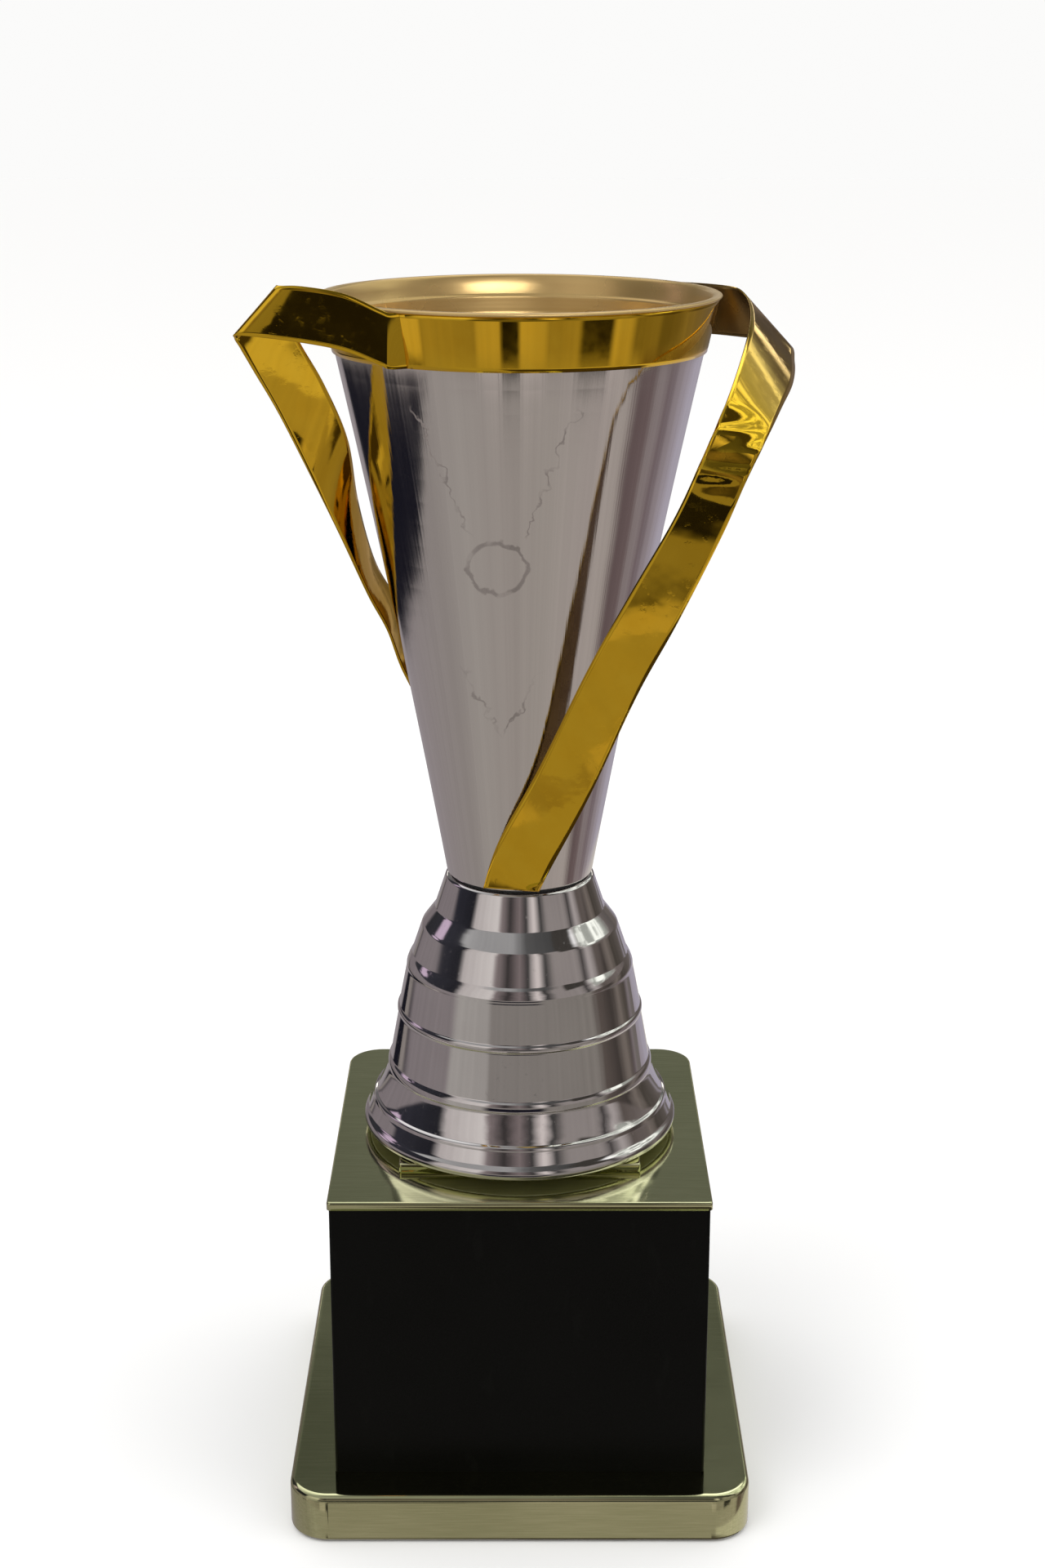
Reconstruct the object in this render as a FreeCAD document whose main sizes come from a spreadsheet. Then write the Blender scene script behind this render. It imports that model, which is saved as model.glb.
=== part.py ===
"""Cup trophy: a conical two-tone cup with two folded strip handles, on a stepped bell, on a plinth.

Millimetres, +Z up, +Y to the back. The origin is on the cup's axis, in the plane the trophy stands on.
The pieces are stacked on one tie rod: felt, board, lower plate, column, top plate, pad, bell, gasket, cup.
"""
import FreeCAD, Part
import math
import os
import re
import Sketcher
from FreeCAD import Rotation, Vector

DIMENSIONS = {
    # lower plate and what closes it from below
    "felt_thick": 0.6,
    "plate_width": 111.0,
    "plate_top": 12.6,
    "plate_corner": 9.5,
    "plate_edge": 1.2,
    "plate_wall": 2.0,
    "board_thick": 2.0,
    "board_gap": 0.2,
    "felt_margin": 1.5,
    "boss_reach": 44.0,
    "boss_radius": 4.0,
    "screw_radius": 1.5,
    "screw_head": 3.0,
    "screw_length": 8.0,
    # column, ballast and top plate
    "column_width": 89.5,
    "column_top": 82.9,
    "column_wall": 3.0,
    "column_rear_corner": 8.0,
    "column_front_corner": 0.6,
    "ballast_width": 64.0,
    "ballast_height": 14.0,
    "ballast_chamfer": 1.5,
    "top_width": 90.5,
    "top_thick": 2.0,
    "top_rear_corner": 8.5,
    "top_front_corner": 1.0,
    "top_edge": 0.5,
    # pad and stepped bell
    "pad_width": 58.0,
    "pad_thick": 2.0,
    "pad_edge": 0.3,
    "bell_rim": 38.7,
    "bell_wall": 1.3,
    "bell_neck": 17.4,
    "bell_top": 151.5,
    "floor_thick": 2.0,
    "sleeve_radius": 6.0,
    "gasket_thick": 0.8,
    "gasket_inset": 0.7,
    # cup and its liner
    "cup_foot": 17.6,
    "cup_mouth": 44.8,
    "cup_height": 137.0,
    "cup_sweep": 3000.0,
    "cup_wall": 0.8,
    "cup_floor": 1.2,
    "liner_wall": 0.5,
    "lip_reach": 1.2,
    "lip_thick": 0.7,
    # tie rod and its hardware
    "rod_radius": 2.5,
    "rod_hole": 2.75,
    "rod_spare": 2.5,
    "washer_radius": 9.0,
    "washer_thick": 1.2,
    "nut_flats": 8.0,
    "nut_height": 4.0,
    "spring_radius": 4.4,
    "spring_slit": 1.0,
    # handle strips
    "strip_width": 12.0,
    "strip_thick": 0.8,
    "crease_angle": 55.8,
    "band_sweep": 178.0,
}

doc = FreeCAD.newDocument("cup_trophy")
sheet = doc.addObject("Spreadsheet::Sheet", "Dims")
for row, (alias, value) in enumerate(DIMENSIONS.items(), start=1):
    sheet.set(f"A{row}", alias)
    sheet.set(f"B{row}", str(value))
    sheet.setAlias(f"B{row}", alias)
doc.recompute()

# Heights that follow from the driving dimensions. The sheet keeps them as formulas.
LEVELS = {
    "board_top": "=felt_thick + board_thick",
    "cavity_top": "=plate_top - plate_wall",
    "pad_low": "=column_top + top_thick",
    "bell_low": "=column_top + top_thick + pad_thick",
    "cup_low": "=bell_top + gasket_thick",
    "cup_rim": "=bell_top + gasket_thick + cup_height",
    "liner_low": "=bell_top + gasket_thick + cup_floor + liner_wall",
    "upper_nut_low": "=bell_top + gasket_thick + cup_floor + liner_wall + washer_thick",
    "lower_nut_top": "=plate_top - plate_wall - 2 * washer_thick",
}
for row, (alias, formula) in enumerate(LEVELS.items(), start=len(DIMENSIONS) + 2):
    sheet.set(f"A{row}", alias)
    sheet.set(f"B{row}", formula)
    sheet.setAlias(f"B{row}", alias)
doc.recompute()

pieces = []


def size(text):
    """The value of a formula over the sheet's cells."""
    return float(sheet.evalExpression(text))


def bound(text):
    """The same formula, as another object's expression: every cell name gets the sheet's name in front."""
    names = set(DIMENSIONS) | set(LEVELS)
    return re.sub("[a-z_]+", lambda word: "Dims." + word[0] if word[0] in names else word[0], text)


def new_body(name):
    """A PartDesign body whose label is the piece's name."""
    body = doc.addObject("PartDesign::Body", name)
    body.Label = name
    pieces.append(body)
    return body


def new_sketch(body, name, role, height="0"):
    """A sketch on one of the body's origin planes, lifted by a formula."""
    sketch = body.newObject("Sketcher::SketchObject", name)
    plane = next(f for f in body.Origin.OriginFeatures if f.Role == role)
    sketch.AttachmentSupport = [(plane, "")]
    sketch.MapMode = "FlatFace"
    if height != "0":
        sketch.setExpression("AttachmentOffset.Base.z", bound(height))
    return sketch


def outline(sketch, corners, sweeps=()):
    """A closed outline. corners are pairs of formulas; sweeps maps a run's number to its arc's radius.
    A positive sweep bulges to the left of the run's direction, a negative one to the right."""
    sweeps = dict(sweeps)
    points = [Vector(size(x), size(y), 0) for x, y in corners]
    for i, start in enumerate(points):
        end = points[(i + 1) % len(points)]
        if i in sweeps:
            radius = size(sweeps[i])
            along = end - start
            rise = abs(radius) - math.sqrt(radius ** 2 - (along.Length / 2) ** 2)
            left = Vector(-along.y, along.x, 0).normalize()
            middle = (start + end) / 2 + left * math.copysign(rise, radius)
            sketch.addGeometry(Part.Arc(start, middle, end))
        else:
            sketch.addGeometry(Part.LineSegment(start, end))
    count = len(points)
    for i in range(count):
        here = 1 if not is_backward(sketch, i, points[i]) else 2
        before = (i - 1) % count
        last = 2 if not is_backward(sketch, before, points[before]) else 1
        sketch.addConstraint(Sketcher.Constraint("Coincident", before, last, i, here))
        for kind, formula in zip(("DistanceX", "DistanceY"), corners[i]):
            index = sketch.addConstraint(Sketcher.Constraint(kind, -1, 1, i, here, size(formula)))
            sketch.setExpression(f"Constraints[{index}]", bound(formula))
    for i, formula in sweeps.items():
        index = sketch.addConstraint(Sketcher.Constraint("Radius", i, abs(size(formula))))
        sketch.setExpression(f"Constraints[{index}]", f"abs({bound(formula)})")


def is_backward(sketch, edge, start):
    """True if the sketch stored this edge from its far end, as it does with a clockwise arc."""
    return (sketch.getPoint(edge, 1) - start).Length > 1e-6


def turned(name, corners, sweeps=()):
    """A body of revolution about Z from an outline of (radius, height) formulas."""
    body = new_body(name)
    sketch = new_sketch(body, name + "_profile", "XZ_Plane")
    outline(sketch, corners, sweeps)
    turn = body.newObject("PartDesign::Revolution", name + "_turn")
    turn.Profile = sketch
    turn.ReferenceAxis = (sketch, ["V_Axis"])
    turn.Angle = 360
    sketch.Visibility = False
    doc.recompute()
    return body


def rectangle(sketch, width, depth):
    """A rectangle centred on the origin."""
    outline(sketch, [
        (f"-1 * ( {width} ) / 2", f"-1 * ( {depth} ) / 2"),
        (f"( {width} ) / 2", f"-1 * ( {depth} ) / 2"),
        (f"( {width} ) / 2", f"( {depth} ) / 2"),
        (f"-1 * ( {width} ) / 2", f"( {depth} ) / 2"),
    ])


def block(body, name, width, low, height):
    """A square pad of the body, standing on a level."""
    sketch = new_sketch(body, name + "_square", "XY_Plane", low)
    rectangle(sketch, width, width)
    pad = body.newObject("PartDesign::Pad", name + "_pad")
    pad.Profile = sketch
    pad.setExpression("Length", bound(height))
    sketch.Visibility = False
    doc.recompute()
    return pad


def rounded_square(sketch, width, radius):
    """A square centred on the origin, with a quarter circle at each corner."""
    far = f"( {width} ) / 2"
    near = f"( {width} ) / 2 - ( {radius} )"
    points = []
    for x, y in ((far, near), (near, far)):
        points.append((x, y))
    for x, y in ((near, far), (far, near)):
        points.append((f"-1 * ( {x} )", y))
    for x, y in ((far, near), (near, far)):
        points.append((f"-1 * ( {x} )", f"-1 * ( {y} )"))
    for x, y in ((near, far), (far, near)):
        points.append((x, f"-1 * ( {y} )"))
    outline(sketch, points, {i: f"-1 * ( {radius} )" for i in (0, 2, 4, 6)})


def hollow(body, name, width, low, height, radius=None):
    """A square pocket of the body, cut upwards from a level."""
    sketch = new_sketch(body, name + "_square", "XY_Plane", low)
    if radius:
        rounded_square(sketch, width, radius)
    else:
        rectangle(sketch, width, width)
    pocket = body.newObject("PartDesign::Pocket", name + "_pocket")
    pocket.Profile = sketch
    pocket.Reversed = True
    pocket.setExpression("Length", bound(height))
    sketch.Visibility = False
    before = body.Shape.Volume
    doc.recompute()
    if body.Shape.Volume >= before:
        raise RuntimeError(f"{name}: the pocket cut nothing")
    return pocket


def drill(body, name, radius, spots=((0, 0),)):
    """Holes through the body along Z, at spots given as pairs of formulas."""
    sketch = new_sketch(body, name + "_circles", "XY_Plane")
    for i, (x, y) in enumerate(spots):
        sketch.addGeometry(Part.Circle(Vector(size(str(x)), size(str(y)), 0), Vector(0, 0, 1), size(radius)))
        for kind, formula in (("DistanceX", str(x)), ("DistanceY", str(y))):
            index = sketch.addConstraint(Sketcher.Constraint(kind, -1, 1, i, 3, size(formula)))
            sketch.setExpression(f"Constraints[{index}]", bound(formula))
        index = sketch.addConstraint(Sketcher.Constraint("Radius", i, size(radius)))
        sketch.setExpression(f"Constraints[{index}]", bound(radius))
    pocket = body.newObject("PartDesign::Pocket", name + "_holes")
    pocket.Profile = sketch
    pocket.Type = "ThroughAll"
    pocket.Midplane = True
    sketch.Visibility = False
    before = body.Shape.Volume
    doc.recompute()
    if body.Shape.Volume >= before:
        raise RuntimeError(f"{name}: the holes cut nothing")
    return pocket


def edges_where(body, test):
    """Names of the tip's edges whose middle point and direction pass a test."""
    names = []
    for number, edge in enumerate(body.Tip.Shape.Edges, start=1):
        middle = edge.valueAt((edge.FirstParameter + edge.LastParameter) / 2)
        tangent = edge.tangentAt((edge.FirstParameter + edge.LastParameter) / 2)
        if test(middle, tangent):
            names.append(f"Edge{number}")
    if not names:
        raise RuntimeError(f"{body.Label}: no edge passes the test")
    return names


def dress(body, kind, name, formula, test):
    """A fillet or chamfer on the edges that pass a test, its size bound to the sheet."""
    names = edges_where(body, test)
    dressed = body.Tip
    feature = body.newObject(f"PartDesign::{kind}", name)
    feature.Base = (dressed, names)
    feature.setExpression("Radius" if kind == "Fillet" else "Size", bound(formula))
    doc.recompute()
    return feature


def upright(middle, tangent):
    return abs(tangent.z) > 0.99


def at_level(level, reach=0.0):
    """Edges lying at a height, and no nearer the axis than reach in X or Y."""
    def test(middle, tangent):
        far = max(abs(middle.x), abs(middle.y)) >= reach
        return abs(middle.z - level) < 1e-4 and abs(tangent.z) < 1e-3 and far
    return test


FOUR_CORNERS = [("boss_reach", "boss_reach"), ("-1 * boss_reach", "boss_reach"),
                ("-1 * boss_reach", "-1 * boss_reach"), ("boss_reach", "-1 * boss_reach")]

# ---------------------------------------------------------------- felt, board and its screws
felt = new_body("felt_pad")
block(felt, "felt", "plate_width - 2 * plate_wall - 2 * felt_margin", "0", "felt_thick")
dress(felt, "Fillet", "felt_corners", "plate_corner - plate_wall", upright)

board = new_body("base_board")
block(board, "board", "plate_width - 2 * plate_wall - 2 * board_gap", "felt_thick", "board_thick")
dress(board, "Fillet", "board_corners", "plate_corner - plate_wall", upright)
drill(board, "board", "screw_radius", FOUR_CORNERS)


def board_screw(name, x, y):
    """A flat-head screw that holds the board: a head in a countersink, and a shank in a boss."""
    shank = doc.addObject("Part::Cylinder", name + "_shank")
    shank.setExpression("Radius", bound("screw_radius"))
    shank.setExpression("Height", bound("screw_length"))
    head = doc.addObject("Part::Cone", name + "_head")
    head.setExpression("Radius1", bound("screw_head"))
    head.setExpression("Radius2", bound("screw_radius"))
    head.setExpression("Height", bound("screw_head - screw_radius"))
    screw = doc.addObject("Part::Fuse", name)
    screw.Base = shank
    screw.Tool = head
    screw.setExpression("Placement.Base.x", bound(x))
    screw.setExpression("Placement.Base.y", bound(y))
    screw.setExpression("Placement.Base.z", bound("felt_thick"))
    return screw


screws = doc.addObject("Part::Compound", "board_screws")
screws.Label = "board_screws"
screws.Links = [board_screw(f"screw_{i}", x, y) for i, (x, y) in enumerate(FOUR_CORNERS)]
pieces.append(screws)

countersinks = new_sketch(board, "countersinks", "XZ_Plane")
outline(countersinks, [
    ("boss_reach", "felt_thick"),
    ("boss_reach + screw_head", "felt_thick"),
    ("boss_reach", "felt_thick + screw_head"),
])
# The outline turns about the screw's own axis, then repeats round the plate.
countersinks.setExpression("AttachmentOffset.Base.z", bound("boss_reach"))
doc.recompute()
sink = board.newObject("PartDesign::Groove", "countersink")
sink.Profile = countersinks
sink.ReferenceAxis = (countersinks, ["Edge3"])
sink.Angle = 360
countersinks.Visibility = False
doc.recompute()
sinks = board.newObject("PartDesign::PolarPattern", "countersink_pattern")
sinks.Originals = [sink]
sinks.Axis = (next(f for f in board.Origin.OriginFeatures if f.Role == "Z_Axis"), [""])
sinks.Angle = 360
sinks.Occurrences = 4
board.Tip = sinks
doc.recompute()

# ---------------------------------------------------------------- lower plate: an upturned tray
lower = new_body("lower_plate")
block(lower, "lower", "plate_width", "felt_thick", "plate_top - felt_thick")
dress(lower, "Fillet", "lower_corners", "plate_corner", upright)
dress(lower, "Fillet", "lower_top_edge", "plate_edge", at_level(size("plate_top")))
dress(lower, "Fillet", "lower_foot_edge", "plate_edge / 2", at_level(size("felt_thick")))
hollow(lower, "tray", "plate_width - 2 * plate_wall", "felt_thick", "cavity_top - felt_thick",
       "plate_corner - plate_wall")
bosses = new_sketch(lower, "bosses", "XY_Plane", "board_top")
for i, (x, y) in enumerate(FOUR_CORNERS):
    bosses.addGeometry(Part.Circle(Vector(size(x), size(y), 0), Vector(0, 0, 1), size("boss_radius")))
    for kind, formula in (("DistanceX", x), ("DistanceY", y)):
        mark = bosses.addConstraint(Sketcher.Constraint(kind, -1, 1, i, 3, size(formula)))
        bosses.setExpression(f"Constraints[{mark}]", bound(formula))
    mark = bosses.addConstraint(Sketcher.Constraint("Radius", i, size("boss_radius")))
    bosses.setExpression(f"Constraints[{mark}]", bound("boss_radius"))
boss_pad = lower.newObject("PartDesign::Pad", "boss_pad")
boss_pad.Profile = bosses
boss_pad.setExpression("Length", bound("cavity_top - board_top"))
bosses.Visibility = False
doc.recompute()
pilots = new_sketch(lower, "pilots", "XY_Plane", "board_top")
for i, (x, y) in enumerate(FOUR_CORNERS):
    pilots.addGeometry(Part.Circle(Vector(size(x), size(y), 0), Vector(0, 0, 1), size("screw_radius")))
    for kind, formula in (("DistanceX", x), ("DistanceY", y)):
        mark = pilots.addConstraint(Sketcher.Constraint(kind, -1, 1, i, 3, size(formula)))
        pilots.setExpression(f"Constraints[{mark}]", bound(formula))
    mark = pilots.addConstraint(Sketcher.Constraint("Radius", i, size("screw_radius")))
    pilots.setExpression(f"Constraints[{mark}]", bound("screw_radius"))
pilot_holes = lower.newObject("PartDesign::Pocket", "pilot_holes")
pilot_holes.Profile = pilots
pilot_holes.Reversed = True
pilot_holes.setExpression("Length", bound("screw_length - board_thick"))
pilots.Visibility = False
doc.recompute()
drill(lower, "lower", "rod_hole")

# ---------------------------------------------------------------- ballast and column
ballast = new_body("ballast_block")
block(ballast, "ballast", "ballast_width", "plate_top", "ballast_height")
dress(ballast, "Chamfer", "ballast_edges", "ballast_chamfer", lambda middle, tangent: True)
drill(ballast, "ballast", "rod_hole")


def rear(middle, tangent):
    return upright(middle, tangent) and middle.y > 0


def front(middle, tangent):
    return upright(middle, tangent) and middle.y < 0


column = new_body("column_shell")
block(column, "column", "column_width", "plate_top", "column_top - plate_top")
dress(column, "Fillet", "column_rear", "column_rear_corner", rear)
dress(column, "Fillet", "column_front", "column_front_corner",
      lambda middle, tangent: front(middle, tangent) and abs(middle.x) > size("column_width / 2") - 1e-3)
hollow(column, "box", "column_width - 2 * column_wall", "plate_top", "column_top - column_wall - plate_top")
inner_half = size("column_width / 2 - column_wall")
dress(column, "Fillet", "box_rear", "column_rear_corner - column_wall",
      lambda middle, tangent: rear(middle, tangent) and abs(abs(middle.x) - inner_half) < 1e-3
      and abs(middle.y - inner_half) < 1e-3)
drill(column, "column", "rod_hole")

# ---------------------------------------------------------------- top plate and pad
top = new_body("top_plate")
block(top, "top", "top_width", "column_top", "top_thick")
dress(top, "Fillet", "top_rear", "top_rear_corner", rear)
dress(top, "Fillet", "top_front", "top_front_corner",
      lambda middle, tangent: front(middle, tangent) and abs(middle.x) > size("top_width / 2") - 1e-3)
dress(top, "Fillet", "top_rim", "top_edge", at_level(size("column_top + top_thick")))
drill(top, "top", "rod_hole")

pad = new_body("riser_pad")
block(pad, "riser", "pad_width", "pad_low", "pad_thick")
dress(pad, "Fillet", "pad_corners", "2 * pad_edge", upright)
dress(pad, "Chamfer", "pad_rim", "pad_edge", at_level(size("bell_low")))
drill(pad, "riser", "rod_hole")

# ---------------------------------------------------------------- stepped bell
# Each tier is a steep wall; between two walls the skin swells out over a rounded shoulder.
# Radii and heights of the outer skin are given from the rim upwards.
BELL_SKIN = [
    ("bell_rim", "bell_low"),
    ("bell_rim + 0.2", "bell_low + 1.7"),
    ("bell_rim - 0.7", "bell_low + 3.1"),
    ("bell_rim - 2.1", "bell_low + 6.0"),
    ("bell_rim - 3.2", "bell_low + 7.7"),
    ("bell_rim - 6.1", "bell_low + 14.6"),
    ("bell_rim - 6.7", "bell_low + 17.3"),
    ("bell_rim - 8.7", "bell_low + 28.8"),
    ("bell_rim - 9.0", "bell_low + 30.8"),
    ("bell_rim - 10.9", "bell_low + 40.5"),
    ("bell_rim - 12.3", "bell_low + 44.2"),
    ("bell_rim - 14.8", "bell_low + 51.6"),
    ("bell_rim - 18.0", "bell_low + 55.9"),
    ("bell_neck + 0.7", "bell_top - 0.5"),
    ("bell_neck + 0.2", "bell_top"),
]
bell_inside = [(f"{r} - bell_wall", z) for r, z in reversed(BELL_SKIN[:-2])]
turned("riser_bell", BELL_SKIN + [
    ("rod_hole", "bell_top"),
    ("rod_hole", "bell_top - bell_wall"),
    ("bell_neck + 0.8 - bell_wall", "bell_top - bell_wall"),
] + bell_inside)

turned("riser_floor", [
    ("rod_hole", "bell_low"),
    ("bell_rim - bell_wall", "bell_low"),
    ("bell_rim - bell_wall + 0.2", "bell_low + 1.7"),
    ("bell_rim - bell_wall", "bell_low + floor_thick"),
    ("rod_hole", "bell_low + floor_thick"),
])
turned("riser_sleeve", [
    ("rod_hole", "bell_low + floor_thick"),
    ("sleeve_radius", "bell_low + floor_thick"),
    ("sleeve_radius", "bell_top - bell_wall"),
    ("rod_hole", "bell_top - bell_wall"),
])
turned("neck_gasket", [
    ("rod_hole", "bell_top"),
    ("bell_neck - gasket_inset", "bell_top"),
    ("bell_neck - gasket_inset", "cup_low"),
    ("rod_hole", "cup_low"),
])

# ---------------------------------------------------------------- cup and liner
# The wall's side is one very flat arc, hollow outwards. The liner lies on its inner side and
# turns over the rim in a flat lip.
turned("cup_shell", [
    ("rod_hole", "cup_low"),
    ("cup_foot", "cup_low"),
    ("cup_mouth", "cup_rim"),
    ("cup_mouth - cup_wall", "cup_rim"),
    ("cup_foot - cup_wall", "cup_low + cup_floor"),
    ("rod_hole", "cup_low + cup_floor"),
], {1: "cup_sweep", 3: "-1 * cup_sweep"})

turned("bowl_liner", [
    ("rod_hole", "cup_low + cup_floor"),
    ("cup_foot - cup_wall", "cup_low + cup_floor"),
    ("cup_mouth - cup_wall", "cup_rim"),
    ("cup_mouth + lip_reach", "cup_rim"),
    ("cup_mouth + lip_reach", "cup_rim + lip_thick"),
    ("cup_mouth - cup_wall - liner_wall", "cup_rim + lip_thick"),
    ("cup_foot - cup_wall - liner_wall", "liner_low"),
    ("rod_hole", "liner_low"),
], {1: "cup_sweep", 5: "-1 * cup_sweep"})

# ---------------------------------------------------------------- tie rod, nuts and washers
turned("tie_rod", [
    ("0", "lower_nut_top - nut_height - rod_spare / 3"),
    ("rod_radius", "lower_nut_top - nut_height - rod_spare / 3"),
    ("rod_radius", "upper_nut_low + nut_height + rod_spare - 0.6"),
    ("rod_radius - 0.6", "upper_nut_low + nut_height + rod_spare"),
    ("0", "upper_nut_low + nut_height + rod_spare"),
])
for name, low in (("lower_washer", "cavity_top - washer_thick"), ("upper_washer", "liner_low")):
    turned(name, [
        ("rod_hole", low),
        ("washer_radius", low),
        ("washer_radius", f"{low} + washer_thick"),
        ("rod_hole", f"{low} + washer_thick"),
    ])


def hexagon_nut(name, low):
    """A hexagon nut on the rod, standing on a level."""
    prism = doc.addObject("Part::Prism", name + "_prism")
    prism.Polygon = 6
    prism.setExpression("Circumradius", bound("nut_flats / sqrt(3)"))
    prism.setExpression("Height", bound("nut_height"))
    prism.setExpression("Placement.Base.z", bound(low))
    bore = doc.addObject("Part::Cylinder", name + "_bore")
    bore.setExpression("Radius", bound("rod_radius"))
    bore.setExpression("Height", bound("nut_height"))
    bore.setExpression("Placement.Base.z", bound(low))
    crown = doc.addObject("Part::Cone", name + "_crown")
    crown.setExpression("Radius1", bound("nut_flats / 2 + nut_height"))
    crown.setExpression("Radius2", bound("nut_flats / 2 - 0.2"))
    crown.setExpression("Height", bound("nut_height"))
    crown.setExpression("Placement.Base.z", bound(low))
    rounded = doc.addObject("Part::Common", name + "_rounded")
    rounded.Base = prism
    rounded.Tool = crown
    nut = doc.addObject("Part::Cut", name)
    nut.Base = rounded
    nut.Tool = bore
    nut.Label = name
    pieces.append(nut)


hexagon_nut("upper_nut", "upper_nut_low")
hexagon_nut("lower_nut", "lower_nut_top - nut_height")

ring = doc.addObject("Part::Cylinder", "spring_ring")
ring.setExpression("Radius", bound("spring_radius"))
ring.setExpression("Height", bound("washer_thick"))
hole = doc.addObject("Part::Cylinder", "spring_hole")
hole.setExpression("Radius", bound("rod_hole"))
hole.setExpression("Height", bound("washer_thick"))
slit = doc.addObject("Part::Box", "spring_slit_box")
slit.setExpression("Length", bound("spring_radius + 1"))
slit.setExpression("Width", bound("spring_slit"))
slit.setExpression("Height", bound("washer_thick"))
slit.setExpression("Placement.Base.y", bound("-1 * spring_slit / 2"))
closed_ring = doc.addObject("Part::Cut", "closed_ring")
closed_ring.Base = ring
closed_ring.Tool = hole
spring = doc.addObject("Part::Cut", "spring_washer")
spring.Base = closed_ring
spring.Tool = slit
spring.Label = "spring_washer"
spring.setExpression("Placement.Base.z", bound("lower_nut_top"))
pieces.append(spring)

# ---------------------------------------------------------------- handle strips
# Each handle is one flat strip. Half of its length is glued round the rim. At a crease it leaves the
# rim sideways, folds over along a slanting line, and its leg winds down to the cup's foot.
# The strip is given by straight lines across it, each from the edge that starts at the rim's top to the
# edge that starts at the rim's bottom. The two strips leave on opposite sides; each was bent by hand.
FRONT_LEG = [  # leaves at the back, folds at the right, and its leg comes down in front of the cup
    ((40.0, 38.6, 288.6), (40.3, 38.4, 276.6)),
    ((50.4, 37.6, 287.8), (53.3, 36.0, 275.8)),
    ((53.4, 30.5, 286.9), (63.9, 26.5, 275.2)),
    ((53.9, 17.0, 285.1), (64.2, 13.0, 272.5)),
    ((52.4, 0.5, 282.1), (62.1, -3.5, 269.7)),
    ((49.0, -17.5, 276.9), (57.9, -21.0, 266.8)),
    ((44.8, -32.5, 270.0), (53.5, -35.5, 262.4)),
    ((39.2, -40.5, 259.0), (48.4, -42.6, 253.8)),
    ((33.4, -40.6, 245.9), (43.5, -42.4, 241.9)),
    ((24.2, -37.2, 228.3), (34.7, -38.6, 222.2)),
    ((15.2, -33.0, 210.2), (26.4, -33.6, 204.6)),
    ((4.3, -25.6, 184.8), (16.0, -28.0, 179.0)),
    ((-4.9, -21.5, 166.0), (7.3, -22.6, 159.8)),
    ((-8.6, -18.2, 153.4), (4.6, -19.0, 152.8)),
]
BACK_LEG = [  # leaves at the front, folds at the left, and its leg goes down behind the cup
    ((-27.6, -37.7, 289.3), (-27.6, -37.3, 277.4)),
    ((-29.8, -37.9, 290.2), (-29.8, -37.6, 278.3)),
    ((-37.0, -38.4, 293.4), (-37.4, -38.2, 281.4)),
    ((-45.5, -38.6, 294.9), (-48.0, -38.4, 283.4)),
    ((-50.3, -38.2, 295.0), (-59.4, -38.0, 284.6)),
    ((-51.2, -36.6, 294.6), (-60.6, -36.0, 283.6)),
    ((-50.4, -34.6, 291.6), (-59.8, -33.9, 281.4)),
    ((-47.6, -30.6, 283.0), (-57.2, -31.0, 275.8)),
    ((-42.9, -24.0, 272.6), (-52.6, -26.8, 266.2)),
    ((-38.6, -15.4, 259.0), (-46.6, -20.4, 251.6)),
    ((-37.4, -3.4, 242.8), (-40.8, -13.0, 236.6)),
    ((-34.4, 5.4, 227.2), (-35.2, -4.6, 220.8)),
    ((-29.8, 11.8, 216.6), (-31.2, 1.2, 211.0)),
    ((-24.9, 17.5, 205.4), (-28.0, 8.0, 199.2)),
    ((-15.2, 23.4, 191.4), (-21.9, 15.2, 185.0)),
    ((-4.2, 24.4, 175.4), (-13.4, 19.4, 169.4)),
    ((4.8, 21.2, 162.6), (-6.4, 19.6, 157.2)),
    ((8.6, 18.2, 153.4), (-4.6, 19.0, 152.8)),
]


def wall_radius(height):
    """Outer radius of the cup's side at a height, taken on its straight chord."""
    rise = (height - size("cup_low")) / size("cup_height")
    return size("cup_foot") + rise * (size("cup_mouth") - size("cup_foot"))


def section(line, ahead, thick):
    """The strip's cross-section: the four corners of a thin rectangle about a line across the strip."""
    upper, lower_end = Vector(*line[0]), Vector(*line[1])
    out = ahead.cross(lower_end - upper).normalize() * (thick / 2)
    return [upper - out, upper + out, lower_end + out, lower_end - out]


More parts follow.
